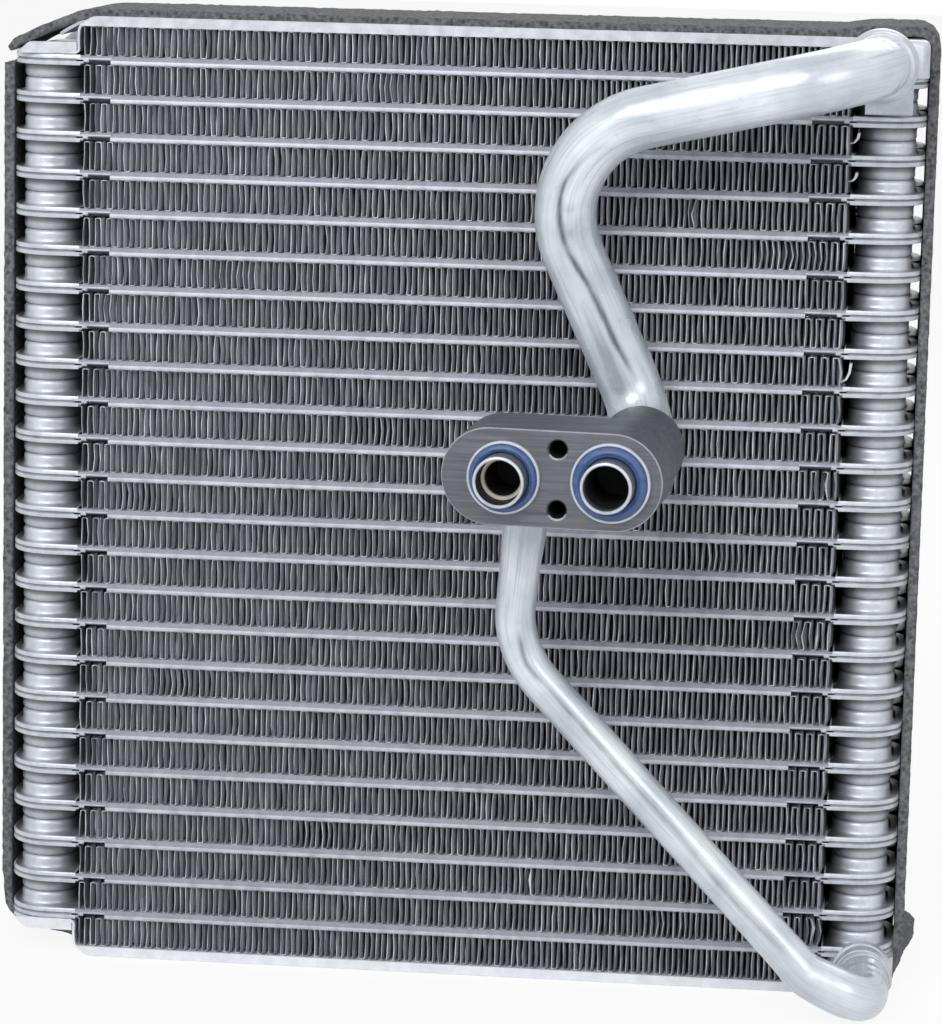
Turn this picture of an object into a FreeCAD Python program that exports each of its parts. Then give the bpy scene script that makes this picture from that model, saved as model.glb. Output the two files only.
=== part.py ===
import FreeCAD, Part

# Evaporator core of a vehicle air conditioner.
# Flat tubes lie across the air path, each one a pair of stamped plates whose ends are drawn
# into cups. Cup stands on cup, so the cups make two tanks at the left and two at the right.
# A folded fin fills each gap between the tubes, side plates close the stack, two pipes run
# from the right-hand tanks to a connector block in front, and foam strips seal the edges.
# Millimetres. +X right, +Y from the front face to the back, +Z up.
# The origin is the middle of the front lip that the core stands on.

import math
import os

from FreeCAD import Vector

# Stack of tubes and fins
tube_count = 24
tube_pitch = 10.06
tube_thickness = 2.3
core_depth = 60.0
fin_half_length = 99.6
fin_legs = 16
fin_strip = 1.6

# Stamped plate, from its middle to its end
left_step_inset = 6.5
right_step_inset = 8.9
neck_overrun = 1.6
tank_width = 19.2
neck_rim_depth = 2.0
neck_rim_thickness = 1.1
flange_thickness = 2.9
flange_corner = 11.0
flange_corner_steps = 2
flange_notch = 3.0

# Drawn cups, two at each end of a tube
cup_half_width = 7.8
cup_inset = 2.3
cup_length = 26.2
cup_gap = 3.0
cup_corner = 4.4
cup_draft = 0.9

# Side plates, each with a lip along its front and back edges
sheet = 1.0
lip_height = 1.7
lip_end_inset = 3.0
end_wall_gap = 0.6
foot_end_inset = 1.2
foot_corner = 4.0

# Tank ends at the right that take the pipes
tank_end_width = 17.4
tank_end_setback = 1.5
tank_end_corner = 3.0
tank_end_inset = 0.4
socket_sides = 12
saddle_width = 12.2
saddle_thickness = 2.2
saddle_drop = 8.0

# Suction pipe and its socket
suction_od = 15.9
suction_wall = 1.2
suction_port_inset = 12.4
suction_port_drop = 6.8
suction_socket_r = 8.9
suction_bead_r = 9.6
suction_reach = 32.0
suction_tank_bend = 20.0
suction_main_bend = 27.0
suction_block_bend = 12.5
suction_corner = (18.2, -50.6, 226.9)

# Liquid pipe and its socket
liquid_od = 11.2
liquid_wall = 1.0
liquid_port_inset = 8.2
liquid_port_rise = 7.4
liquid_socket_r = 6.7
liquid_bead_r = 7.4
liquid_reach = 38.0
liquid_tank_bend = 10.5
liquid_side_bend = 10.0
liquid_knee_bend = 26.0
liquid_block_bend = 14.0
liquid_knee = (18.2, -54.0, 95.7)
liquid_side = (97.6, -63.5, 14.4)

# Both pipes and sockets
socket_length = 9.0
bead_length = 2.0
bead_setback = 1.5
socket_depth = 7.0
socket_gap = 0.02
pipe_sides = 12
bore_sides = 8
bend_steps = 3

# Connector block, with its own axes: x along its face, y into it, z up
block_at = (46.1, -102.0, 147.9)
block_yaw = 6.0
block_pitch = 2.5
block_radius = 12.3
block_right = 0.6
block_left = 30.4
block_thickness = 20.5
port_spacing = 26.8
lobe_radius = 11.2
lobe_length = 46.0
suction_elbow_run = 16.0
liquid_elbow_run = 18.5
block_sides = 16

# Ports on the block: a turned spigot inside a low collar, with a seal ring in the spigot's groove
spigot_r = 6.5
spigot_length = 7.4
seal_groove_depth = 0.15
seal_groove_length = 3.0
suction_bore_r = 5.6
liquid_mouth_r = 5.6
liquid_bore_r = 4.2
liquid_mouth_depth = 1.6
suction_collar_r = 10.0
liquid_collar_r = 9.2
collar_wall = 0.7
collar_height = 1.2
seal_clearance = 0.05
seal_proud = 1.3

# Tapped holes between the ports
screw_r = 2.1
screw_depth = 15.0
screw_spacing = 15.2

# Foam strips round the edge of the core
foam_thickness = 2.7
foam_width = 42.0
foam_clearance = 0.3
foam_squeezed = 1.6
foam_ramp = 3.0
foam_corner = 4.5
foam_flare = 4.6
foam_tip = 1.2

# Places across the core that follow from the fins' length
left_step = fin_half_length - left_step_inset
right_step = fin_half_length - right_step_inset
end_wall_x = fin_half_length + end_wall_gap
neck_end = fin_half_length + neck_overrun
plate_half_length = neck_end + tank_width
cup_centre_x = plate_half_length - cup_inset - cup_half_width
tank_end_left = plate_half_length - tank_end_width
suction_port_x = plate_half_length - suction_port_inset
liquid_port_x = plate_half_length - liquid_port_inset

# Heights that follow from the stack
fin_height = tube_pitch - tube_thickness
lower_sheet_top = lip_height + sheet
first_height = lower_sheet_top + fin_height + tube_thickness / 2
last_height = first_height + (tube_count - 1) * tube_pitch
upper_sheet_bottom = last_height + tube_thickness / 2 + fin_height
upper_sheet_top = upper_sheet_bottom + sheet
overall_height = upper_sheet_top + lip_height
front = -core_depth / 2
back = core_depth / 2
flange_half = flange_thickness / 2
cup_height = tube_pitch / 2 - flange_half


def box(x, y, z):
    """A box from its low and high values along each axis."""
    low = Vector(x[0], y[0], z[0])
    return Part.makeBox(x[1] - x[0], y[1] - y[0], z[1] - z[0], low)


def closed_wire(points):
    return Part.makePolygon(points + [points[0]])


def many_sided(x, y, z, radius, length, sides):
    """A straight-sided bar along the Y axis that just fits inside the given radius."""
    turns = [2 * math.pi * (k + 0.5) / sides for k in range(sides)]
    points = [Vector(x + radius * math.cos(t), y, z + radius * math.sin(t)) for t in turns]
    return Part.Face(closed_wire(points)).extrude(Vector(0, length, 0))


def many_sided_hole(x, y, z, radius, length, sides):
    """The same along a hole, its sides just outside the given radius."""
    return many_sided(x, y, z, radius / math.cos(math.pi / sides), length, sides)


def prism(points, along):
    """A solid from a flat outline moved along a vector."""
    return Part.Face(closed_wire(points)).extrude(along)


def skin(rings):
    """The flat faces between each ring of points and the next."""
    faces = []
    for one, two in zip(rings, rings[1:]):
        for k in range(len(one)):
            n = (k + 1) % len(one)
            faces.append(Part.Face(closed_wire([one[k], one[n], two[n], two[k]])))
    return faces


def solid_between(rings):
    """A solid with flat faces from one outline through the others to the last."""
    ends = [Part.Face(closed_wire(rings[0])), Part.Face(closed_wire(rings[-1]))]
    return whole(skin(rings) + ends)


def whole(faces):
    """The solid that a closed set of faces bounds."""
    solid = Part.Solid(Part.Shell(faces))
    solid.fix(1e-6, 1e-6, 1e-6)
    return solid


def fused(pieces):
    return pieces[0].multiFuse(pieces[1:]).removeSplitter()


def save(name, shape):
    """Writes a piece, moved back so that the middle of the front lip comes to the origin."""
    shape.translated(Vector(0, back - sheet / 2, 0)).exportStep(os.path.join("parts", name + ".step"))


# Flat tubes

def flange_outline(side, height):
    """The rounded end of a plate, with the notch between its two cups."""
    corner_x = plate_half_length - flange_corner
    corner_y = back - flange_corner
    half = [(neck_end, back)]
    for step in range(flange_corner_steps + 1):
        turn = math.pi / 2 * (1 - step / flange_corner_steps)
        half.append((corner_x + flange_corner * math.cos(turn), corner_y + flange_corner * math.sin(turn)))
    half.append((plate_half_length, flange_notch))
    points = half + [(plate_half_length - flange_notch, 0.0)] + [(x, -y) for x, y in reversed(half)]
    return [Vector(side * x, y, height) for x, y in points]


def cup_outline(side, row, shrink, height):
    """A cup's outline: round at its outer end, square where it faces the other cup."""
    x = cup_half_width - shrink
    near = cup_gap / 2 + shrink
    far = cup_gap / 2 + cup_length - shrink
    points = [
        (-x, near), (x, near), (x, far - cup_corner), (x - cup_corner, far),
        (cup_corner - x, far), (-x, far - cup_corner),
    ]
    return [Vector(side * (cup_centre_x + px), row * py, height) for px, py in points]


def cup(side, row, up):
    """Half of the gap's height, drawn in towards the cup of the next tube."""
    foot = cup_outline(side, row, 0.0, up * flange_half)
    rim = cup_outline(side, row, cup_draft, up * (flange_half + cup_height))
    return solid_between([foot, rim])


def tube(cups_above, cups_below):
    half = tube_thickness / 2
    across = (front, back)
    pieces = [box((-left_step, right_step), across, (-half, half))]
    for side, step in ((-1, left_step), (1, right_step)):
        neck = sorted((side * step, side * neck_end))
        inner = (front + neck_rim_depth, back - neck_rim_depth)
        pieces.append(box(neck, inner, (-half, half)))
        pieces.append(box(neck, across, (half - neck_rim_thickness, half)))
        outline = flange_outline(side, -flange_half)
        pieces.append(prism(outline, Vector(0, 0, flange_thickness)))
        for row in (-1, 1):
            if cups_above:
                pieces.append(cup(side, row, 1))
            if cups_below:
                pieces.append(cup(side, row, -1))
    return fused(pieces)


def make_tubes():
    plain = tube(True, True)
    top = tube(False, True)
    bottom = tube(True, False)
    for number in range(1, tube_count + 1):
        shape = top if number == 1 else bottom if number == tube_count else plain
        height = last_height - (number - 1) * tube_pitch
        save("tube_%02d" % number, shape.translated(Vector(0, 0, height)))


# Folded fins

def fin():
    """One strip folded from side to side between two tubes, as deep as the core."""
    run = 2 * fin_half_length / fin_legs
    reach = (fin_height - fin_strip) / 2
    folds = [(-fin_half_length + k * run, reach if k % 2 else -reach) for k in range(fin_legs + 1)]
    over = [Vector(x, front, z + fin_strip / 2) for x, z in folds]
    under = [Vector(x, front, z - fin_strip / 2) for x, z in reversed(folds)]
    return prism(over + under, Vector(0, core_depth, 0))


def make_fins():
    shape = fin()
    middle = upper_sheet_bottom - fin_height / 2
    for number in range(1, tube_count + 2):
        height = middle - (number - 1) * tube_pitch
        save("fin_%02d" % number, shape.translated(Vector(0, 0, height)))


# Side plates

def side_plate():
    """The upper plate, one sheet: foot on the left tank, wall, and a channel over the fins."""
    foot_bottom = last_height + flange_half
    foot_end = plate_half_length - foot_end_inset
    foot = [
        (-end_wall_x, front), (-foot_end + foot_corner, front), (-foot_end, front + foot_corner),
        (-foot_end, back - foot_corner), (-foot_end + foot_corner, back), (-end_wall_x, back),
    ]
    across = (front, back)
    lip = (sheet - end_wall_x + lip_end_inset, tank_end_left - lip_end_inset)
    pieces = [
        prism([Vector(x, y, foot_bottom) for x, y in foot], Vector(0, 0, sheet)),
        box((-end_wall_x - sheet, -end_wall_x), across, (foot_bottom, upper_sheet_top)),
        box((-end_wall_x, tank_end_left), across, (upper_sheet_bottom, upper_sheet_top)),
        box(lip, (front, front + sheet), (upper_sheet_top, overall_height)),
        box(lip, (back - sheet, back), (upper_sheet_top, overall_height)),
    ]
    return fused(pieces)


def turned_over(shape):
    """The same form for the lower end of the stack."""
    middle = Vector(0, 0, overall_height / 2)
    return shape.mirror(middle, Vector(0, 0, 1))


# Pipes

def bent_route(corners, radii):
    """Points along straight runs joined by arcs, each arc in a few short lengths."""
    route = [corners[0]]
    for k in range(1, len(corners) - 1):
        before = (corners[k - 1] - corners[k]).normalize()
        after = (corners[k + 1] - corners[k]).normalize()
        opening = before.getAngle(after)
        centre = corners[k] + (before + after).normalize() * (radii[k - 1] / math.sin(opening / 2))
        start = corners[k] + before * (radii[k - 1] / math.tan(opening / 2))
        axis = after.cross(before)
        turn = math.degrees(math.pi - opening)
        for step in range(bend_steps + 1):
            spin = FreeCAD.Rotation(axis, turn * step / bend_steps)
            route.append(centre + spin.multVec(start - centre))
    route.append(corners[-1])
    return route


def rings_along(route, radius, sides):
    """Corner points of a straight-sided pipe, one ring for each point of its route."""
    along = (route[1] - route[0]).normalize()
    spin = FreeCAD.Rotation(Vector(0, 0, 1), along)
    ring = []
    for k in range(sides):
        angle = 2 * math.pi * (k + 0.5) / sides
        ring.append(route[0] + spin.multVec(Vector(math.cos(angle), math.sin(angle), 0) * radius))
    rings = [ring]
    for k in range(1, len(route)):
        along = (route[k] - route[k - 1]).normalize()
        onward = (route[k + 1] - route[k]).normalize() if k < len(route) - 1 else along
        mitre = along + onward
        ring = [point + along * ((route[k] - point).dot(mitre) / along.dot(mitre)) for point in ring]
        rings.append(ring)
    return rings


def pipe(route, outer_radius, wall):
    outer = rings_along(route, outer_radius, pipe_sides)
    inner = rings_along(route, outer_radius - wall, bore_sides)
    faces = skin(outer) + skin(inner)
    for end in (0, -1):
        faces.append(Part.Face(closed_wire(outer[end])).cut(Part.Face(closed_wire(inner[end]))).Faces[0])
    return whole(faces)


def block_point(x, y, z):
    """A point given in the block's own axes."""
    yaw = FreeCAD.Rotation(Vector(0, 0, 1), -block_yaw)
    pitch = FreeCAD.Rotation(Vector(1, 0, 0), block_pitch)
    return Vector(*block_at) + yaw.multVec(pitch.multVec(Vector(x, y, z)))


def suction_pipe():
    height = overall_height - suction_port_drop
    corners = [
        Vector(suction_port_x, front - socket_length + socket_depth, height),
        Vector(suction_port_x, front - suction_reach, height),
        Vector(*suction_corner),
        block_point(0, lobe_length + suction_elbow_run, 0),
        block_point(0, lobe_length - socket_depth, 0),
    ]
    radii = [suction_tank_bend, suction_main_bend, suction_block_bend]
    return pipe(bent_route(corners, radii), suction_od / 2, suction_wall)


def liquid_pipe():
    height = liquid_port_rise
    corners = [
        Vector(liquid_port_x, front - socket_length + socket_depth, height),
        Vector(liquid_port_x, front - liquid_reach, height),
        Vector(*liquid_side),
        Vector(*liquid_knee),
        block_point(-port_spacing, block_thickness + liquid_elbow_run, 0),
        block_point(-port_spacing, block_thickness - socket_depth, 0),
    ]
    radii = [liquid_tank_bend, liquid_side_bend, liquid_knee_bend, liquid_block_bend]
    return pipe(bent_route(corners, radii), liquid_od / 2, liquid_wall)


# Tank ends

def socket(x, height, radius, bead_radius, low, high):
    """A round socket on the tank's front, with a bead round its mouth, and its root in the tank."""
    mouth = front - socket_length
    body = many_sided(x, mouth, height, radius, socket_length, socket_sides)
    bead = many_sided(x, mouth + bead_setback, height, bead_radius, bead_length, socket_sides)
    sides = (tank_end_left, plate_half_length - tank_end_corner)
    root = box(sides, (front, front + tank_end_setback + tank_end_corner), (low, high))
    return [body, bead, root]


def tank_end(low, high):
    """The extra tank beyond the last tube, with its upright corners cut off."""
    half = back - tank_end_setback
    cut = tank_end_corner
    outline = [
        (tank_end_left, cut - half), (tank_end_left + cut, -half), (plate_half_length - cut, -half),
        (plate_half_length, cut - half), (plate_half_length, half - cut), (plate_half_length - cut, half),
        (tank_end_left + cut, half), (tank_end_left, half - cut),
    ]
    return prism([Vector(x, y, low) for x, y in outline], Vector(0, 0, high - low))


def socket_hole(x, height, radius):
    return many_sided_hole(x, front - socket_length, height, radius + socket_gap, socket_depth, pipe_sides)


def suction_adapter():
    height = overall_height - suction_port_drop
    low = last_height + flange_half
    high = overall_height - tank_end_inset
    pieces = [tank_end(low, high)]
    pieces += socket(suction_port_x, height, suction_socket_r, suction_bead_r, low, high)
    saddle_x = (cup_centre_x - saddle_width / 2, cup_centre_x + saddle_width / 2)
    pieces.append(box(saddle_x, (front - saddle_thickness, front), (last_height - saddle_drop, height)))
    return fused(pieces).cut(socket_hole(suction_port_x, height, suction_od / 2))


def liquid_adapter():
    low = tank_end_inset
    high = first_height - flange_half
    pieces = [tank_end(low, high)]
    pieces += socket(liquid_port_x, liquid_port_rise, liquid_socket_r, liquid_bead_r, low, high)
    return fused(pieces).cut(socket_hole(liquid_port_x, liquid_port_rise, liquid_od / 2))


# Connector block

def rod(x, y, z, radius, length):
    """A round bar along the block's own y axis."""
    return Part.makeCylinder(radius, length, Vector(x, y, z), Vector(0, 1, 0))


def placed_on_block(shape):
    """Moves a shape drawn in the block's own axes to the block's place."""
    shape.rotate(Vector(0, 0, 0), Vector(1, 0, 0), block_pitch)
    shape.rotate(Vector(0, 0, 0), Vector(0, 0, 1), -block_yaw)
    return shape.translated(Vector(*block_at))


def spigot(x):
    """A round nose, and a slightly thinner root where the seal ring lies."""
    nose_length = spigot_length - seal_groove_length
    root = many_sided(x, -seal_groove_length, 0, spigot_r - seal_groove_depth, seal_groove_length, block_sides)
    return [root, rod(x, -spigot_length, 0, spigot_r, nose_length)]


def collar(x, radius):
    ring = many_sided(x, -collar_height, 0, radius, collar_height, block_sides)
    return ring.cut(many_sided(x, -collar_height, 0, radius - collar_wall, collar_height, block_sides))


def connector_block():
    suction_reach_back = lobe_length - socket_depth
    liquid_reach_back = block_thickness - socket_depth
    pieces = [
        box((-block_left, block_right), (0, block_thickness), (-block_radius, block_radius)),
        many_sided(-block_left, 0, 0, block_radius, block_thickness, block_sides),
        many_sided(block_right, 0, 0, block_radius, block_thickness, block_sides),
        many_sided(0, block_thickness, 0, lobe_radius, lobe_length - block_thickness, block_sides),
        collar(0, suction_collar_r),
        collar(-port_spacing, liquid_collar_r),
    ]
    shape = fused(pieces + spigot(0) + spigot(-port_spacing))
    mouth = spigot_length + liquid_mouth_depth
    cuts = [
        many_sided_hole(0, -spigot_length, 0, suction_bore_r, spigot_length + lobe_length, bore_sides),
        many_sided_hole(0, suction_reach_back, 0, suction_od / 2 + socket_gap, socket_depth, pipe_sides),
        many_sided_hole(-port_spacing, -spigot_length, 0, liquid_mouth_r, mouth, bore_sides),
        many_sided_hole(-port_spacing, 0, 0, liquid_bore_r, block_thickness, bore_sides),
        many_sided_hole(
            -port_spacing, liquid_reach_back, 0, liquid_od / 2 + socket_gap, socket_depth, pipe_sides),
        rod(-port_spacing / 2, 0, screw_spacing / 2, screw_r, screw_depth),
        rod(-port_spacing / 2, 0, -screw_spacing / 2, screw_r, screw_depth),
    ]
    for piece in cuts:
        shape = shape.cut(piece)
    return placed_on_block(shape)


def seal_ring(x, collar_radius):
    """A rubber ring round the spigot's root, inside the collar."""
    inner = spigot_r - seal_groove_depth + seal_clearance
    outer = collar_radius - collar_wall - seal_clearance
    height = collar_height + seal_proud
    ring = many_sided(x, -height, 0, outer, height, block_sides)
    return placed_on_block(ring.cut(many_sided_hole(x, -height, 0, inner, height, block_sides)))


# Foam strips

def ribbon(points):
    """A strip laid along the outside of a route in the X Z plane, given its thickness at each point."""
    spots = [Vector(x, -foam_width / 2, z) for x, z, _ in points]
    outer = []
    for k, (x, z, thickness) in enumerate(points):
        before = (spots[k] - spots[k - 1]).normalize() if k else None
        after = (spots[k + 1] - spots[k]).normalize() if k < len(spots) - 1 else None
        one = before or after
        two = after or before
        lean = (one + two).normalize()
        reach = thickness / lean.dot(one)
        outer.append(spots[k] + Vector(-lean.z, 0, lean.x) * reach)
    return prism(spots + outer[::-1], Vector(0, foam_width, 0))


def foam_upper():
    """Over the top channel, round the right-hand corner and down the right-hand tanks."""
    full = foam_thickness
    side = plate_half_length + foam_clearance
    bed = upper_sheet_top + foam_clearance
    over = overall_height + foam_clearance - tank_end_inset
    foot = last_height + flange_half + sheet
    plate_end = plate_half_length - foot_end_inset
    return ribbon([
        (-side - foam_tip, foot - foam_tip, foam_squeezed), (-plate_end, foot + 2 * foam_clearance, full),
        (-end_wall_x - sheet - 2 * foam_clearance, bed, full),
        (tank_end_left - foam_ramp, bed, full), (tank_end_left, over, full),
        (side - foam_clearance, over, full), (side, over - foam_clearance, full),
        (side, first_height + 1.1 * tube_pitch, full), (side + foam_flare, first_height + 0.7 * tube_pitch, full),
        (side + foam_flare, first_height + 0.4 * tube_pitch, full),
        (side + foam_clearance, first_height - 0.8 * tube_pitch, full),
    ])


def foam_left():
    """Down the left-hand tanks, round under them to the lower side plate's wall."""
    side = plate_half_length + foam_clearance
    foot = first_height - flange_half - sheet
    plate_end = plate_half_length - foot_end_inset
    return ribbon([
        (-end_wall_x - sheet - foam_clearance, foot - 2 * foam_ramp, foam_squeezed),
        (foam_corner - plate_end, foot - foam_ramp, foam_thickness),
        (-plate_end, foot - 2 * foam_clearance, foam_squeezed), (-side, foot + foam_clearance, foam_squeezed),
        (-side, first_height + tube_pitch, foam_thickness),
        (-side, last_height - flange_half, foam_thickness),
    ])


def main():
    os.makedirs("parts", exist_ok=True)
    make_tubes()
    make_fins()
    upper = side_plate()
    save("upper_side_plate", upper)
    save("lower_side_plate", turned_over(upper))
    save("suction_adapter", suction_adapter())
    save("liquid_adapter", liquid_adapter())
    save("suction_pipe", suction_pipe())
    save("liquid_pipe", liquid_pipe())
    save("connector_block", connector_block())
    save("suction_seal_ring", seal_ring(0, suction_collar_r))
    save("liquid_seal_ring", seal_ring(-port_spacing, liquid_collar_r))
    save("foam_upper", foam_upper())
    save("foam_left", foam_left())


main()
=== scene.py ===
import math
import random

import bpy
import numpy as np
from mathutils import Matrix, Vector, geometry, noise


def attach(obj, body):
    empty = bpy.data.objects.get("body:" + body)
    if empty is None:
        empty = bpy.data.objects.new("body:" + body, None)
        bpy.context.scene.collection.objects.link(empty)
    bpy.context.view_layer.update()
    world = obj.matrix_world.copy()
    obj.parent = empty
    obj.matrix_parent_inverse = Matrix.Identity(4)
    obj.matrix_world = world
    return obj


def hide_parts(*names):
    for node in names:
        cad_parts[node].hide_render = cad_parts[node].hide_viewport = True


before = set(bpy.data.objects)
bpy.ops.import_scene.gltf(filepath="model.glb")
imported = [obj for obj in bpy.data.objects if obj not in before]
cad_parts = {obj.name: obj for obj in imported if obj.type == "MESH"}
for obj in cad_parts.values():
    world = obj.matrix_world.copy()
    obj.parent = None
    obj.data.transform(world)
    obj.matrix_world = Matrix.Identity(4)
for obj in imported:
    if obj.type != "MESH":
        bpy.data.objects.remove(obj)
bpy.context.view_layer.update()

# Lengths are written in millimetres and turned into metres when a mesh is made.
MM = 0.001

# The core, as the solids have it
FRONT, BACK, MID = -0.5, 59.5, 29.5
PITCH = 10.06
TUBES = 24
FIRST_Z = 11.61
LAST_Z = FIRST_Z + (TUBES - 1) * PITCH
TUBE_HALF = 1.15
FLANGE_HALF = 1.45
FIN_HEIGHT = PITCH - 2 * TUBE_HALF
LEFT_STEP, RIGHT_STEP = 93.1, 90.7
NECK_END, PLATE_END = 101.2, 120.4
CUP_X, CUP_HALF, CUP_LENGTH, CUP_GAP = 110.3, 7.8, 26.2, 3.0
SHEET_BOTTOM, TOP = 251.9, 254.6

# The pipes' sockets, as x and z, and the block with its ports
SUCTION_SOCKET = (108.0, TOP - 6.8)
LIQUID_SOCKET = (112.2, 7.4)
BLOCK_AT = Vector((46.1, -72.5, 147.9))
BLOCK_YAW, BLOCK_PITCH = math.radians(-6.0), math.radians(2.5)
PORT_SPACING = 26.8
SCREW_RISE = 7.6

# The camera's place, from which the creases in the pipes are also told
EYE = Vector((109.3946, -1038.8393, 306.0137))

# Seeds for the unevenness of the foil and of the foam's surface
rng = random.Random(11)
noise.seed_set(11)


# Materials

def linear(colour):
    """A colour as it is seen, from 0 to 255, in linear light."""
    out = []
    for c in colour:
        c /= 255
        out.append(c / 12.92 if c <= 0.04045 else ((c + 0.055) / 1.055) ** 2.4)
    return (*out, 1.0)


def greys(stops):
    """Ramp stops from pairs of position and level."""
    return [(at, (level,) * 3) for at, level in stops]


class Tree:
    """A node tree, with short ways to add and join nodes."""

    def __init__(self, tree):
        self.tree = tree

    def add(self, kind, **values):
        """A new node; a text sets one of its options, and any other value one of its inputs."""
        node = self.tree.nodes.new(kind)
        for key, value in values.items():
            if isinstance(value, str):
                setattr(node, key, value)
            else:
                self.feed(value, node.inputs[key])
        return node

    def join(self, source, target):
        self.tree.links.new(source, target)

    def feed(self, value, target):
        """Joins a socket, or sets a plain value."""
        if isinstance(value, bpy.types.NodeSocket):
            self.join(value, target)
        else:
            target.default_value = value

    def calculate(self, operation, *values):
        node = self.add("ShaderNodeMath", operation=operation)
        for value, target in zip(values, node.inputs):
            self.feed(value, target)
        return node.outputs[0]

    def white_rays(self):
        """1 where something is seen directly, in a reflection or through glass, and 0 elsewhere."""
        path = self.add("ShaderNodeLightPath").outputs
        seen = self.calculate("MAXIMUM", path["Is Camera Ray"], path["Is Glossy Ray"])
        return self.calculate("MAXIMUM", seen, path["Is Transmission Ray"])


class Nodes(Tree):
    """A new material's nodes."""

    def __init__(self, name):
        self.material = bpy.data.materials.new(name)
        self.material.use_nodes = True
        super().__init__(self.material.node_tree)
        self.shader = self.tree.nodes["Principled BSDF"]
        self.output = self.tree.nodes["Material Output"]
        self.place = self.add("ShaderNodeTexCoord").outputs["Object"]

    def made(self, colour, **values):
        """Feeds the shader, and gives back the material."""
        self.feed(colour, self.shader.inputs["Base Color"])
        for key, value in values.items():
            self.feed(value, self.shader.inputs[key])
        return self.material

    def noise(self, scale, detail=3.0, rough=0.55, stretch=None, distortion=0.0, place=None):
        """Noise over the object's own coordinates or a given place, stretched along each axis."""
        if place is None:
            place = self.place
        if stretch:
            place = self.add("ShaderNodeMapping", Vector=place, Scale=stretch).outputs["Vector"]
        values = {"Scale": scale, "Detail": detail, "Roughness": rough, "Distortion": distortion}
        return self.add("ShaderNodeTexNoise", Vector=place, **values).outputs["Fac"]

    def ramp(self, source, stops):
        node = self.add("ShaderNodeValToRGB", Fac=source)
        ramp = node.color_ramp
        while len(ramp.elements) < len(stops):
            ramp.elements.new(0.5)
        for element, (at, colour) in zip(ramp.elements, stops):
            element.position = at
            element.color = colour if len(colour) == 4 else (*colour, 1.0)
        return node.outputs["Color"]

    def levels(self, source, low, high, start=0.3, end=0.7):
        return self.ramp(source, greys([(start, low), (end, high)]))

    def mix(self, factor, one, two, kind="MIX"):
        node = self.add("ShaderNodeMix", data_type="RGBA", blend_type=kind)
        for value, socket in ((factor, 0), (one, 6), (two, 7)):
            self.feed(value, node.inputs[socket])
        return node.outputs[2]

    def bump(self, height, strength, distance, under=None):
        node = self.add("ShaderNodeBump", Strength=strength, Distance=distance, Height=height)
        if under is not None:
            self.join(under, node.inputs["Normal"])
        return node.outputs["Normal"]


# colour of the painted shade on the cups and flanges
SHADE_TONE = (26, 27, 34)
# how lit the tanks are painted from left, at 0, to right, at 1, over a span in metres about the middle:
# painted shade at the cups' sides, full tone in their middles
SHADE_SPAN = 0.25
LIT_ACROSS = [
    (0.026, 0.25), (0.036, 0.75), (0.052, 1.0), (0.066, 0.75), (0.084, 0.42), (0.096, 0.3),
    (0.906, 0.03), (0.916, 0.13), (0.927, 0.5), (0.940, 1.0), (0.958, 1.0), (0.972, 0.55),
]
# how lit they are painted from one tube, at 0, up to the next one, at 1: painted shadow under each flange
LIT_UPWARDS = [(0.14, 0.8), (0.2, 1.0), (0.46, 1.0), (0.52, 0.72), (0.66, 0.78), (0.74, 0.4), (0.84, 0.22)]


def with_painted_shade(n, tone):
    """Painted shade at the tanks' sides and under each flange, where shadow falls."""
    split = n.add("ShaderNodeSeparateXYZ", Vector=n.place)
    across = n.calculate("MULTIPLY_ADD", split.outputs[0], 1 / SHADE_SPAN, 0.5)
    side = n.ramp(across, greys(LIT_ACROSS))
    rise = n.calculate("MULTIPLY_ADD", split.outputs[2], 1 / (PITCH * MM), -FIRST_Z / PITCH + 1)
    level = n.ramp(n.calculate("FRACT", rise), greys(LIT_UPWARDS))
    lit = n.mix(1.0, side, level, "MULTIPLY")
    return n.mix(lit, linear(SHADE_TONE), tone)


def sheet_material(name, light, dark, metallic, rough, painted_shade=False):
    """Brazed sheet: soft mottling from flux, fine grain, and a slightly uneven surface."""
    n = Nodes(name)
    mottle = n.noise(260, 5, 0.6)
    grain = n.noise(1900, 2, 0.5)
    tone = n.ramp(mottle, [(0.3, linear(dark)), (0.62, linear(light))])
    tone = n.mix(n.levels(grain, 0.0, 0.3), tone, linear(dark))
    # painted shade at the cups' sides towards the core and under each flange
    if painted_shade:
        tone = with_painted_shade(n, tone)
    uneven = n.bump(grain, 0.15, 0.0001, n.bump(mottle, 0.25, 0.0003))
    roughness = n.levels(mottle, rough - 0.08, rough + 0.12)
    return n.made(tone, Metallic=metallic, Roughness=roughness, Normal=uneven)


# values kept at every point of a pipe: place round it and along it, and painted shade along its crease and in
# its dents
PIPE_ATTRIBUTES = ("around", "along", "crease_and_dent_shade")


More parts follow.
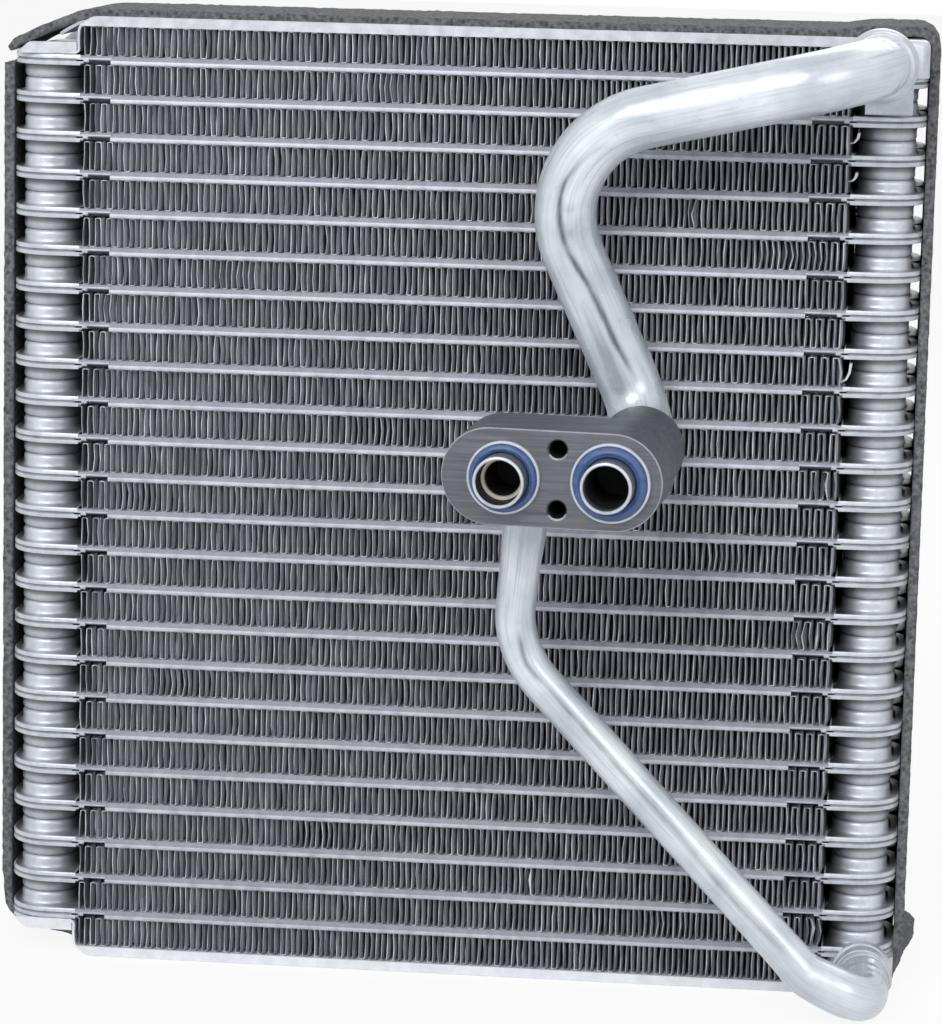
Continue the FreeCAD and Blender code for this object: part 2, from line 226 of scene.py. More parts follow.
def pipe_material():
    """Drawn aluminium tube: satin, cloudy, with fine draw lines along it, scuffs, a painted dark reflection
    along its crease and painted shade in its dents.
    """
    n = Nodes("pipe_aluminium")
    around, along, crease_and_dent_shade = (
        n.add("ShaderNodeAttribute", attribute_name=key).outputs["Fac"] for key in PIPE_ATTRIBUTES
    )
    # draw lines run along the tube, so their pattern lies in its unrolled surface
    flat = n.add("ShaderNodeCombineXYZ", X=around, Y=along).outputs[0]
    lines = n.noise(1.0, 4, 0.65, (1.1, 0.035, 1.0), 0.3, flat)
    cloud = n.noise(45, 3, 0.55, distortion=0.2)
    scuff = n.noise(480, 3, 0.7, distortion=0.4)
    base = n.ramp(cloud, [(0.3, linear((184, 193, 204))), (0.66, linear((232, 237, 243)))])
    base = n.mix(n.levels(lines, 0.0, 0.55, 0.48, 0.7), base, linear((160, 169, 181)))
    base = n.mix(n.levels(scuff, 0.0, 0.3, 0.6, 0.78), base, linear((150, 158, 170)))
    # a painted dark reflection along the crease and painted shade in the dents
    base = n.mix(crease_and_dent_shade, base, linear((84, 90, 100)))
    uneven = n.bump(scuff, 0.15, 0.0002, n.bump(lines, 0.15, 0.0003))
    return n.made(base, Metallic=0.3, Roughness=n.levels(cloud, 0.24, 0.36), Normal=uneven)


def block_material():
    """Milled aluminium, dull grey, with fine cutter lines along its length."""
    n = Nodes("block_aluminium")
    lines = n.noise(420, 4, 0.65, stretch=(0.06, 1.0, 3.2))
    cloud = n.noise(90, 4, 0.6)
    base = n.ramp(lines, [(0.25, linear((80, 83, 90))), (0.75, linear((126, 129, 137)))])
    base = n.mix(n.levels(cloud, 0.0, 0.5), base, linear((98, 101, 108)))
    uneven = n.bump(lines, 0.35, 0.00025)
    return n.made(base, Metallic=0.55, Roughness=n.levels(cloud, 0.42, 0.58), Normal=uneven)


def fin_material():
    """Thin foil, mid grey, each leg a little lighter or darker than the next."""
    n = Nodes("fin_foil")
    legs = n.noise(330, 1, 0.5, stretch=(1.0, 0.05, 0.12))
    grain = n.noise(1500, 2, 0.5)
    base = n.ramp(legs, [(0.3, linear((132, 136, 146))), (0.7, linear((184, 187, 196)))])
    base = n.mix(n.levels(grain, 0.0, 0.4), base, linear((140, 143, 153)))
    return n.made(base, Metallic=0.6, Roughness=n.levels(grain, 0.42, 0.6))


def fin_edge_material():
    """The foil's cut edges, lighter than its faces and uneven from leg to leg."""
    n = Nodes("fin_cut_edge")
    legs = n.noise(640, 2, 0.6, stretch=(1.0, 0.1, 0.12))
    base = n.ramp(legs, [(0.36, linear((104, 108, 117))), (0.64, linear((212, 215, 221)))])
    return n.made(base, Metallic=0.3, Roughness=n.levels(legs, 0.4, 0.55))


def foam_material():
    """Open-cell foam: dark pits between lighter cell walls."""
    n = Nodes("foam")
    cells = n.add("ShaderNodeTexVoronoi", Scale=620.0, Vector=n.place).outputs["Distance"]
    pores = n.noise(900, 4, 0.7)
    cloud = n.noise(110, 3, 0.6)
    base = n.ramp(cells, [(0.1, linear((44, 45, 49))), (0.6, linear((124, 126, 129)))])
    base = n.mix(n.levels(pores, 0.0, 0.8, 0.42, 0.62), base, linear((66, 68, 72)))
    base = n.mix(n.levels(cloud, 0.0, 0.35), base, linear((116, 118, 120)))
    uneven = n.bump(pores, 0.8, 0.0006, n.bump(cells, 0.7, 0.0005))
    return n.made(base, Roughness=0.95, Normal=uneven)


def bore_shade_material():
    """Painted shade for the depths of the ports and screw holes, where little light reaches."""
    n = Nodes("bore_painted_shade")
    speck = n.noise(300, 3, 0.6)
    base = n.ramp(speck, [(0.3, linear((16, 17, 19))), (0.7, linear((34, 35, 38)))])
    return n.made(base, Metallic=0.2, Roughness=0.7)


def rubber_material():
    """Blue rubber with a faint speckle."""
    n = Nodes("seal_rubber")
    speck = n.noise(700, 3, 0.6)
    base = n.ramp(speck, [(0.3, linear((54, 80, 128))), (0.7, linear((74, 104, 152)))])
    return n.made(base, Roughness=n.levels(speck, 0.35, 0.5))


SHEET = sheet_material("core_sheet", (194, 198, 208), (160, 164, 176), 0.3, 0.42)
# a darker copy of the sheet: painted shade on the tubes' upper bevels and the necks' set-back bars, and the
# dark seam of each flange
SHADE_AND_SEAM = sheet_material("sheet_painted_shade_and_seam", (156, 160, 170), (120, 124, 135), 0.2, 0.6)
# the cups and flanges carry painted shade at their sides and under each flange
CUP = sheet_material("drawn_sheet", (222, 226, 235), (198, 202, 213), 0.3, 0.36, True)
SEAT = sheet_material("bore_seat", (232, 224, 208), (206, 198, 184), 0.4, 0.3)
EDGE = sheet_material("chamfer", (168, 171, 178), (140, 143, 151), 0.5, 0.35)
# a lighter copy of the sheet for the lower side plate: painted light from the white floor beneath it
PAINTED_LIGHT_SHEET = sheet_material("sheet_painted_light", (240, 242, 247), (222, 225, 233), 0.2, 0.4)
BRIGHT = sheet_material("bright_cut_metal", (212, 216, 224), (186, 190, 200), 0.35, 0.38)
PIPE = pipe_material()
BLOCK = block_material()
FIN = fin_material()
FIN_EDGE = fin_edge_material()
FOAM = foam_material()
RUBBER = rubber_material()
BORE_SHADE = bore_shade_material()
# the slots of the pieces made of sheet
CORE_METALS = [SHEET, SHADE_AND_SEAM, CUP, BRIGHT]


# Mesh building

class Shells:
    """Collects closed shells of one piece, each face with its material and shading."""

    def __init__(self):
        self.points, self.faces, self.slots, self.smooth = [], [], [], []

    def add(self, points, faces, slot=0, smooth=True):
        start = len(self.points)
        self.points += [tuple(p) for p in points]
        slots = slot if isinstance(slot, list) else [slot] * len(faces)
        shades = smooth if isinstance(smooth, list) else [smooth] * len(faces)
        for face, s, flag in zip(faces, slots, shades):
            self.faces.append([start + i for i in face])
            self.slots.append(s)
            self.smooth.append(flag)

    def mesh(self, name, materials, sharp=None):
        """The mesh; edges with a steeper turn than a number of degrees stay crisp."""
        mesh = bpy.data.meshes.new(name)
        mesh.from_pydata([(x * MM, y * MM, z * MM) for x, y, z in self.points], [], self.faces)
        for material in materials:
            mesh.materials.append(material)
        mesh.polygons.foreach_set("material_index", self.slots)
        mesh.polygons.foreach_set("use_smooth", self.smooth)
        mesh.update()
        if sharp:
            mesh.set_sharp_from_angle(angle=math.radians(sharp))
        return mesh


def put(name, data):
    """Puts an object in the scene."""
    obj = bpy.data.objects.new(name, data)
    bpy.context.scene.collection.objects.link(obj)
    return obj


def piece(name, mesh, node):
    """Puts a mesh in the scene as a piece of the object, in the place of a solid."""
    obj = put(name, mesh)
    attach(obj, "root")
    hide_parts(node)
    return obj


def band_faces(rings, count):
    """Quads between a number of rings, each with a count of points."""
    faces = []
    for r in range(rings - 1):
        low = r * count
        high = low + count
        faces += [(low + k, low + (k + 1) % count, high + (k + 1) % count, high + k) for k in range(count)]
    return faces


def loft(shells, rings, slot=0, smooth=True, caps=True, band_slots=None):
    """A closed shell through rings of points, with flat ends."""
    count = len(rings[0])
    points = [p for ring in rings for p in ring]
    faces = band_faces(len(rings), count)
    slots = [band_slots[k // count] if band_slots else slot for k in range(len(faces))]
    shades = [smooth] * len(faces)
    if caps:
        last = (len(rings) - 1) * count
        faces += [tuple(reversed(range(count))), tuple(range(last, last + count))]
        slots += [slot, slot]
        shades += [False, False]
    shells.add(points, faces, slots, shades)


def offset(outline, amount):
    """A closed outline, counter-clockwise, moved inwards by an amount."""
    count = len(outline)
    moved = []
    for k in range(count):
        (ax, ay), (bx, by), (cx, cy) = outline[k - 1], outline[k], outline[(k + 1) % count]
        one = Vector((by - ay, ax - bx)).normalized()
        two = Vector((cy - by, bx - cx)).normalized()
        lean = (one + two).normalized()
        reach = amount / max(0.35, lean.dot(one))
        moved.append((bx - lean.x * reach, by - lean.y * reach))
    return moved


def slab(shells, outline, profile, slot=0, band_slots=None):
    """An outline in the X Y plane raised through a list of (inset, height) pairs, lowest first."""
    rings = [[(x, y, z) for x, y in offset(outline, inset)] for inset, z in profile]
    loft(shells, rings, slot, True, True, band_slots)


def bar(shells, section, start, end, slot=0, band=None):
    """A section in the Y Z plane, counter-clockwise seen from +X, carried along X."""
    count = len(section)
    points = [(x, y, z) for x in (start, end) for y, z in section]
    faces = band_faces(2, count) + [tuple(reversed(range(count))), tuple(range(count, 2 * count))]
    shells.add(points, faces, (band or [slot] * count) + [slot, slot], False)


def arc(cx, cy, r, start, end, steps):
    """Points on an arc, angles in degrees."""
    out = []
    for k in range(steps + 1):
        t = math.radians(start + (end - start) * k / steps)
        out.append((cx + r * math.cos(t), cy + r * math.sin(t)))
    return out


def circle(cx, cz, r, count):
    """Points round a circle."""
    turns = [2 * math.pi * k / count for k in range(count)]
    return [(cx + r * math.cos(t), cz + r * math.sin(t)) for t in turns]


def turned(place, rings, sides):
    """Rings of points round an axis; place maps a local point."""
    return [[place(a, along, c) for a, c in circle(0, 0, radius, sides)] for along, radius in rings]


def lathe(shells, place, rings, sides=64, slot=0, band_slots=None, closed=False):
    """Turned shape: rings are (distance along the axis, radius), place maps a local point."""
    loops = turned(place, rings, sides)
    if closed:
        loops.append(loops[0])
    loft(shells, loops, slot, True, not closed, band_slots)


# Flat tubes

def flange_outline():
    """The right-hand end of a plate: rounded corners, and a notch between the two lobes."""
    r = 11.5
    half = arc(PLATE_END - r, BACK - r, r, 0, 90, 10)
    notch = [
        (PLATE_END, MID + 4.2), (PLATE_END - 0.5, MID + 3.0), (PLATE_END - 1.8, MID + 1.4),
        (PLATE_END - 2.9, MID + 0.4),
    ]
    upper = notch[::-1] + half + [(NECK_END + 1.0, BACK), (NECK_END, BACK)]
    lower = [(x, 2 * MID - y) for x, y in reversed(upper)]
    return lower + upper


def mirrored(outline):
    """The same outline at the left-hand end, still counter-clockwise."""
    return [(-x, y) for x, y in reversed(outline)]


def cup_outline(row):
    """A cup's outline: two half circles joined by straight sides."""
    near = CUP_GAP / 2 + CUP_HALF
    far = CUP_GAP / 2 + CUP_LENGTH - CUP_HALF
    low, high = (MID + near, MID + far) if row > 0 else (MID - far, MID - near)
    return arc(CUP_X, high, CUP_HALF, 0, 180, 14) + arc(CUP_X, low, CUP_HALF, 180, 360, 14)


# how far the lower half of a neck is set back from the faces
NECK_INSET = 5.0
FLANGE_PROFILE = [
    (0.45, -FLANGE_HALF), (0.12, -1.36), (0.0, -1.15), (0.0, -0.34), (0.42, -0.10),
    (0.42, 0.10), (0.0, 0.34), (0.0, 1.15), (0.12, 1.36), (0.45, FLANGE_HALF),
]
FLANGE_SLOTS = [0, 3, 3, 0, 1, 1, 3, 3, 3]
CUP_PROFILE = [
    (-0.45, 0.0), (0.0, 0.2), (0.3, 0.7), (0.36, 1.5), (0.3, 2.3), (0.36, 2.9), (0.7, 3.4), (1.2, 3.58),
]


def nose(low, high, front, back, proud):
    """Section of a plate's long edges: an upper bevel in painted shade and a bright lower face."""
    edge = (low + high) / 2
    return [
        (front + 0.3, low), (back - 0.3, low), (back, low + 0.25), (back, edge),
        (back - proud, high), (front + proud, high), (front, edge), (front, low + 0.25),
    ], [0, 0, 0, 1, 0, 1, 0, 0]


def tube_mesh(name, above, below):
    shells = Shells()
    section, band = nose(-TUBE_HALF, TUBE_HALF, FRONT, BACK, 0.75)
    bar(shells, section, -LEFT_STEP, RIGHT_STEP, 0, band)
    for side, step in ((-1, LEFT_STEP), (1, RIGHT_STEP)):
        ends = sorted((side * (step - 0.2), side * (NECK_END + 0.6)))
        rim, rim_band = nose(0.05, TUBE_HALF + 0.03, FRONT + 0.05, BACK - 0.05, 0.35)
        bar(shells, rim, ends[0], ends[1], 0, rim_band)
        # the set-back bar under each neck is in the darker sheet: painted shade
        near, far = FRONT + NECK_INSET, BACK - NECK_INSET
        inner = [(near, -TUBE_HALF), (far, -TUBE_HALF), (far, 0.4), (near, 0.4)]
        bar(shells, inner, ends[0], ends[1], 1)
        # the flange's thickness grows in two small steps from the neck
        for depth, reach in ((-0.55, 1.2), (-0.95, 2.6)):
            ends = sorted((side * (NECK_END - 3.4 + reach), side * (NECK_END + 1.0)))
            part, part_band = nose(depth, TUBE_HALF + 0.1, FRONT + 0.03, BACK - 0.03, 0.3)
            bar(shells, part, ends[0], ends[1], 0, part_band)
        outline = flange_outline()
        if side < 0:
            outline = mirrored(outline)
        slab(shells, outline, FLANGE_PROFILE, 2, FLANGE_SLOTS)
        for row in (-1, 1):
            cup = cup_outline(row)
            if side < 0:
                cup = mirrored(cup)
            if above:
                slab(shells, cup, [(i, FLANGE_HALF + z) for i, z in CUP_PROFILE], 2)
            if below:
                slab(shells, cup, [(i, -FLANGE_HALF - z) for i, z in reversed(CUP_PROFILE)], 2)
    return shells.mesh(name, CORE_METALS, 38)


def make_tubes():
    meshes = {
        1: tube_mesh("flat_tube_top", False, True),
        TUBES: tube_mesh("flat_tube_bottom", True, False),
    }
    plain = tube_mesh("flat_tube_plain", True, True)
    for number in range(1, TUBES + 1):
        mesh = meshes.get(number, plain).copy()
        mesh.name = "flat_tube_%02d" % number
        height = (LAST_Z - (number - 1) * PITCH) * MM
        mesh.transform(Matrix.Translation((0, 0, height)))
        piece(mesh.name, mesh, "tube_%02d" % number)


# Louvred fins

LEGS = 131
FOIL = 0.2
FOLD_HALF_WIDTH = 0.72
FOLD_RISE = 0.16
FIN_LEFT, FIN_RIGHT = -101.0, 100.7
FIN_FRONT, FIN_BACK = FRONT + 0.9, BACK - 0.9
# depth from the face, and how far the louvres stand to the side there
LOUVRES = [(0.0, 0.0), (0.8, 0.0), (1.15, 0.45), (3.2, -0.35), (3.5, 0.5), (6.0, 1.0)]
REAR_LOUVRES = [(0.0, 0.0), (2.2, 0.0), (2.5, 0.4)]
DRIFT = 1.35
# how far the last legs spread to the right inside the core, and over what length
END_SPREAD, SPREAD_LENGTH = 1.6, 9.0
# length over which the first legs, which lie against the wall, begin to drift
HELD_LENGTH = 5.0
# depth to which the exposed edges are knocked about
KNOCKED_DEPTH = 3.4
# places where the foil's exposed edges are bowed sideways: row, x, half-width, how far
BOWED = [
    (6, 87.0, 9.0, 0.85), (5, 61.4, 1.6, -0.9), (5, 20.0, 4.0, 0.5), (8, -92.0, 3.0, -0.7),
    (16, 93.0, 4.0, -0.8), (7, -60.0, 7.0, -0.45), (11, -20.0, 9.0, 0.4), (14, 70.0, 6.0, 0.5),
    (18, -72.0, 6.0, 0.5), (19, 40.0, 8.0, -0.35), (3, 100.6, 0.5, 1.2), (4, 100.6, 0.5, 1.1),
    (9, 100.6, 0.9, 1.5), (10, 99.8, 0.6, 0.8), (22, -35.0, 7.0, 0.45), (2, -20.0, 8.0, -0.4),
    (3, 30.0, 6.0, 0.5), (13, -85.0, 5.0, 0.6), (24, 60.0, 6.0, 0.4),
]
# places where they are crumpled: row, x, half-width, how far
CRUMPLED = [
    (1, -92.0, 2.5, 0.5), (12, 97.5, 2.6, 1.3), (24, 98.5, 3.2, 1.6), (25, 97.0, 3.0, 1.0),
    (16, 97.0, 1.6, 1.0), (23, 22.7, 2.2, 0.9), (7, -88.0, 1.8, 0.6), (4, 24.0, 1.8, 0.5),
    (20, 74.0, 2.0, 0.5),
]


def fin_path(row):
    """The folded foil's line across one gap, from left to right, about its own mid-height."""
    pitch = (FIN_RIGHT - FIN_LEFT) / LEGS
    reach = FIN_HEIGHT / 2 - FOIL / 2
    path = []
    for k in range(LEGS + 1):
        x = FIN_LEFT + k * pitch + rng.gauss(0, 0.05)
        up = 1 if (k + row) % 2 else -1
        half = FOLD_HALF_WIDTH + rng.uniform(-0.07, 0.07)
        lean = rng.gauss(0, 0.06)
        shoulder = up * (reach - FOLD_RISE)
        path += [(x - half, shoulder), (x + lean, up * reach), (x + half, shoulder)]
        path.append((x + pitch / 2 + rng.gauss(0, 0.06), rng.uniform(-0.8, 0.8)))
    return np.array(path[:-1])


def ribbon_sides(path, thickness):
    """The two faces of a foil of even thickness along a path."""
    step = np.diff(path, axis=0)
    step /= np.linalg.norm(step, axis=1)[:, None]
    normal = np.stack([-step[:, 1], step[:, 0]], axis=1)
    one = np.vstack([normal[:1], normal])
    two = np.vstack([normal, normal[-1:]])
    lean = one + two
    lean /= np.linalg.norm(lean, axis=1)[:, None]
    reach = thickness / 2 / np.clip((lean * one).sum(axis=1), 0.5, None)
    return path + lean * reach[:, None], path - lean * reach[:, None]


def crush(points, row, depth):
    """Pushes the foil's exposed edges about where the real core has been knocked."""
    fade = max(0.0, 1 - depth / KNOCKED_DEPTH)
    if fade == 0:
        return points
    out = points.copy()
    x, z = points[:, 0], points[:, 1]
    belly = 1 - (z / (FIN_HEIGHT / 2)) ** 2
    for where, at, width, far in BOWED:
        if where == row:
            out[:, 0] += far * fade * belly * np.exp(-((x - at) / width) ** 2)
    for where, at, width, far in CRUMPLED:
        if where == row:
            near = far * fade * belly * np.exp(-((x - at) / width) ** 2)
            out[:, 0] += near * np.sin(x * 2.3 + z * 1.9 + row)
            out[:, 1] += near * 0.6 * np.sin(x * 3.1 - z * 1.3)
    # every leg's edge is a little bowed
    slow, fast = np.sin(x * 0.83 + row), np.sin(x * 3.7 + 2.3 * row)
    out[:, 0] += 0.15 * fade * belly * slow + 0.10 * fade * belly * fast
    return out


# rows whose last leg has a torn tab: its lower and upper end about mid-height, and its reach to the right
TORN = {3: (-0.6, 2.2, 2.0), 4: (-0.4, 2.0, 1.8), 9: (-2.4, 2.6, 2.2)}


def torn_tab(shells, row, height):
    """A curled tab of foil that stands off the last leg."""
    low, high, reach = TORN[row]
    near, far = FRONT + 0.9, FRONT + 2.2
    rings = []
    for t in (0.0, 0.35, 0.7, 1.0):
        x = FIN_RIGHT - 0.1 + reach * math.sin(t * 1.5)
        z = height + low + (high - low) * t * t
        edge = x + 0.35 + 0.35 * t
        rings.append([(x, near, z - 0.15), (edge, near, z - 0.15), (edge, far, z + 0.15), (x, far, z + 0.15)])
    # the tab is in the bright sheet metal of slot 2: a painted highlight where the curl catches the light
    loft(shells, rings, 2, False)


def fin_mesh(name, row, height):
    left, right = ribbon_sides(fin_path(row), FOIL)
    outline = np.vstack([left, right[::-1]])
    # place, depth for the knocks, shift of every leg there, and share of the last legs' spread
    samples = [(FIN_FRONT + d, d, s, 0.0) for d, s in LOUVRES]
    samples += [(FRONT + 20.0, 20.0, DRIFT, 0.05), (MID - 2.0, 28.0, DRIFT, 1.0)]
    samples += [(BACK - 20.0, 20.0, DRIFT, 0.6)]
    samples += [(FIN_BACK - d, 40.0, s, 0.0) for d, s in reversed(REAR_LOUVRES)]
    hold = np.clip((outline[:, 0] - FIN_LEFT) / HELD_LENGTH, 0.0, 1.0)
    late = np.clip((outline[:, 0] - FIN_RIGHT + SPREAD_LENGTH) / SPREAD_LENGTH, 0.0, 1.0)
    spread = late ** 2 * END_SPREAD
    rings = []
    for y, depth, shift, wide in samples:
        ring = crush(outline, row, depth)
        across = ring[:, 0] + shift * hold + spread * wide
        rings.append(np.column_stack([across, np.full(len(ring), y), ring[:, 1] + height]))
    points = np.vstack(rings)
    count = len(outline)
    faces = band_faces(len(rings), count)
    half = count // 2
    for start, turn in ((0, False), ((len(rings) - 1) * count, True)):
        for k in range(half - 1):
            quad = (start + k, start + count - 1 - k, start + count - 2 - k, start + k + 1)
            faces.append(quad[::-1] if turn else quad)
    shells = Shells()
    sides = (len(rings) - 1) * count
    edges = len(faces) - sides
    shells.add(points, faces, [0] * sides + [1] * edges, [True] * sides + [False] * edges)
    if row in TORN:
        torn_tab(shells, row, height)
    return shells.mesh(name, [FIN, FIN_EDGE, BRIGHT], 50)


def make_fins():
    top = SHEET_BOTTOM - FIN_HEIGHT / 2
    for number in range(1, TUBES + 2):
        name = "louvred_fin_%02d" % number
        mesh = fin_mesh(name, number, top - (number - 1) * PITCH)
        piece(name, mesh, "fin_%02d" % number)


# Side plates

def bent_sheet(shells, path, thickness, slot=0):
    """A sheet bent along a path in the X Z plane; each point has its own inset from front and back."""
    centre = np.array([(x, z) for x, z, _ in path])
    over, under = ribbon_sides(centre, thickness)
    rings = []
    for k, (_, _, inset) in enumerate(path):
        low, high = FRONT + 0.12 + inset, BACK - 0.12 - inset
        (ox, oz), (ux, uz) = over[k], under[k]
        rings.append([(ox, low, oz), (ox, high, oz), (ux, high, uz), (ux, low, uz)])
    loft(shells, rings, slot, False)


def side_plate_mesh(name, up):
    """Foot on the tank, wall, channel with lips, and a sloping tongue under the foam."""
    shells = Shells()
    foot_z = LAST_Z + FLANGE_HALF + 0.5
    mid = SHEET_BOTTOM + 0.5
    # foot, wall and channel as x, z and inset
    path = [(-119.2, foot_z, 5.0), (-117.4, foot_z, 2.2), (-114.0, foot_z, 0.3), (-103.0, foot_z, 0.0)]
    path += [(-101.9, foot_z + 0.3, 0.0), (-101.65, foot_z + 1.0, 0.0), (-101.75, foot_z + 3.5, 0.0)]
    path += [(-101.6, mid - 1.4, 0.0), (-101.2, mid - 0.4, 0.0), (-100.2, mid, 0.0), (103.0, mid, 0.0)]
    bent_sheet(shells, path, 0.6, 3)
    # lips, rounded off at the left
    lip = [(-101.4, 0.5), (-100.4, 0.95), (-99.4, 1.75), (-98.2, 2.4), (-96.8, 2.65), (101.6, 2.65)]
    for y0, y1 in ((FRONT, FRONT + 0.9), (BACK - 0.9, BACK)):
        rings = []
        for x, height in lip:
            z = SHEET_BOTTOM + 0.05
            rings.append([
                (x, y0, z), (x, y1, z), (x, y1, z + height - 0.2), (x, y1 - 0.25, z + height),
                (x, y0 + 0.25, z + height), (x, y0, z + height - 0.2),
            ])
        loft(shells, rings, 3, False)
    # low walls along the foot's front and rear edges, their outer ends cut off at a slant
    z = foot_z - 0.4
    wall = [(-117.6, 0.7), (-115.4, 2.6), (-114.6, 3.0), (-102.3, 3.2)]
    for y0, y1 in ((FRONT + 0.3, FRONT + 1.1), (BACK - 1.1, BACK - 0.3)):
        rings = [[(x, y0, z), (x, y1, z), (x, y1, z + high), (x, y0, z + high)] for x, high in wall]
        loft(shells, rings, 3, False)
    if up:
        tongue = [(-98.0, 253.5, 0.4), (-101.6, 252.7, 0.4), (-104.2, 251.3, 0.8), (-106.9, 249.7, 2.0)]
        bent_sheet(shells, tongue, 0.8)
    # the lower plate takes the lighter sheet in slot 3: painted light from the floor
    mesh = shells.mesh(name, CORE_METALS if up else [SHEET, SHADE_AND_SEAM, CUP, PAINTED_LIGHT_SHEET])
    if not up:
        flip = Matrix.Translation((0, 0, TOP * MM)) @ Matrix.Diagonal((1, 1, -1, 1))
        mesh.transform(flip)
        mesh.flip_normals()
    return mesh


def make_side_plates():
    for side, up in (("upper", True), ("lower", False)):
        name = side + "_channel"
        piece(name, side_plate_mesh(name, up), side + "_side_plate")


# Tank ends with their sockets

def tank_outline():
    """A tank end from above: a rectangle with rounded corners."""
    r = 3.2
    x0, x1, y0, y1 = 103.0, PLATE_END, FRONT + 1.3, BACK - 1.3
    return (arc(x1 - r, y0 + r, r, -90, 0, 6) + arc(x1 - r, y1 - r, r, 0, 90, 6)
            + arc(x0 + r, y1 - r, r, 90, 180, 6) + arc(x0 + r, y0 + r, r, 180, 270, 6))


def boss(shells, x, z, r, floor):
    """Round boss at the socket's root, cut off flat underneath."""
    ring = [(a, max(b, floor)) for a, b in circle(x, z, r, 56)]
    inner = [(x + (a - x) * 0.93, max(z + (b - z) * 0.93, floor)) for a, b in ring]
    rings = [[(a, FRONT - 1.7, b) for a, b in inner], [(a, FRONT - 1.2, b) for a, b in ring],
             [(a, FRONT + 2.0, b) for a, b in ring]]
    loft(shells, [ring[::-1] for ring in rings], 3)


def socket(shells, x, z, r, bead):
    """Turned socket: a plain neck on the tank, then a rolled bead and a rounded mouth."""
    rings = [
        (3.0, r), (-3.6, r), (-4.2, r + 0.25), (-4.7, bead - 0.15), (-5.3, bead), (-6.4, bead),
        (-7.0, bead - 0.2), (-7.4, r + 0.3), (-7.7, r), (-8.9, r - 0.1), (-9.4, r - 0.5), (-9.5, r - 1.0),
    ]
    lathe(shells, lambda a, b, c: (x + a, FRONT + b + 0.5, z + c), rings[::-1], 72, 3)


def suction_tank():
    """Upper tank end, with a saddle under its socket."""
    shells = Shells()
    x, z = SUCTION_SOCKET
    low, high = LAST_Z + FLANGE_HALF, TOP - 0.45
    profile = [(0.0, low - 0.01), (0.0, high - 1.6), (0.35, high - 0.7), (1.0, high - 0.15), (1.8, high)]
    slab(shells, tank_outline(), profile, 3)
    socket(shells, x, z, 8.85, 9.55)
    near, foot = FRONT - 2.2, LAST_Z - 8.0
    saddle = [(near, foot + 0.4), (near + 0.5, foot), (FRONT, foot), (FRONT, z), (near, z)]
    bar(shells, saddle, 104.2, 116.4, 3)
    mesh = shells.mesh("suction_tank_end", CORE_METALS, 38)
    piece("suction_tank_end", mesh, "suction_adapter")


def liquid_tank():
    """Lower tank end, with a round boss behind its socket."""
    shells = Shells()
    x, z = LIQUID_SOCKET
    low, high = 0.45, FIRST_Z - FLANGE_HALF
    profile = [(1.8, low), (1.0, low + 0.15), (0.35, low + 0.7), (0.0, low + 1.6), (0.0, high + 0.01)]
    slab(shells, tank_outline(), profile, 3)
    boss(shells, x - 0.2, z - 0.6, 7.9, 0.4)
    socket(shells, x, z, 6.9, 7.35)
    mesh = shells.mesh("liquid_tank_end", CORE_METALS, 38)
    piece("liquid_tank_end", mesh, "liquid_adapter")


# Connector block

BLOCK_TURN = Matrix.Rotation(BLOCK_YAW, 3, "Z") @ Matrix.Rotation(BLOCK_PITCH, 3, "X")


def on_block(x, y, z):
    """A point in the block's own axes: x along its face, y into it, z up."""
    return tuple(BLOCK_AT + BLOCK_TURN @ Vector((x, y, z)))


BLOCK_RADIUS, BLOCK_DEPTH, BLOCK_CHAMFER = 12.3, 20.5, 0.3
SPIGOT_RADIUS = 6.5
# turned shapes about the ports' axes: distance into the block and radius
SPIGOT_RIM = [
    (0.5, SPIGOT_RADIUS), (-6.9, SPIGOT_RADIUS), (-7.25, 6.35), (-7.4, 6.1), (-7.4, 5.85), (-7.1, 5.65),
]
SUCTION_PORT = SPIGOT_RIM + [(-4.5, 5.6), (17.0, 5.6), (17.0, SPIGOT_RADIUS)]
# in these slots, 2 marks the bores' walls, which are painted shade
SUCTION_SLOTS = [0, 1, 1, 1, 1, 0, 2, 2, 2]
LIQUID_PORT = SPIGOT_RIM + [
    (-2.4, 5.6), (-2.1, 5.35), (-2.1, 4.9), (-1.8, 4.6), (-1.0, 4.5), (17.0, 4.5), (17.0, SPIGOT_RADIUS),
]
LIQUID_SLOTS = [0, 1, 1, 1, 1, 2, 2, 4, 4, 4, 2, 2, 2]
SCREW_HOLE = [(0.0, 2.7), (0.55, 2.3), (15.0, 2.25), (15.0, 0.05)]
LOBE = [
    (BLOCK_DEPTH - 1, 12.0), (BLOCK_DEPTH + 0.2, 12.0), (BLOCK_DEPTH + 1.2, 11.2), (45.2, 11.1),
    (46.0, 10.4), (46.0, 7.0),
]


def about(x, z=0.0):
    """Places points about an axis through the block's face."""
    return lambda a, b, c: on_block(a + x, b, c + z)


def block_face(shells, face):
    """The front face, with openings for the two ports and the two screw holes."""
    holes = [circle(x, 0, 6.4, 48) for x in (0, -PORT_SPACING)]
    holes += [circle(-PORT_SPACING / 2, z, 2.7, 32) for z in (SCREW_RISE, -SCREW_RISE)]
    loops = [face] + holes
    flat = [p for loop in loops for p in loop]
    corners = [[Vector((x, z, 0)) for x, z in loop] for loop in loops]
    triangles = [t if faces_front(flat, t) else t[::-1] for t in geometry.tessellate_polygon(corners)]
    shells.add([on_block(x, 0, z) for x, z in flat], triangles, 0, False)


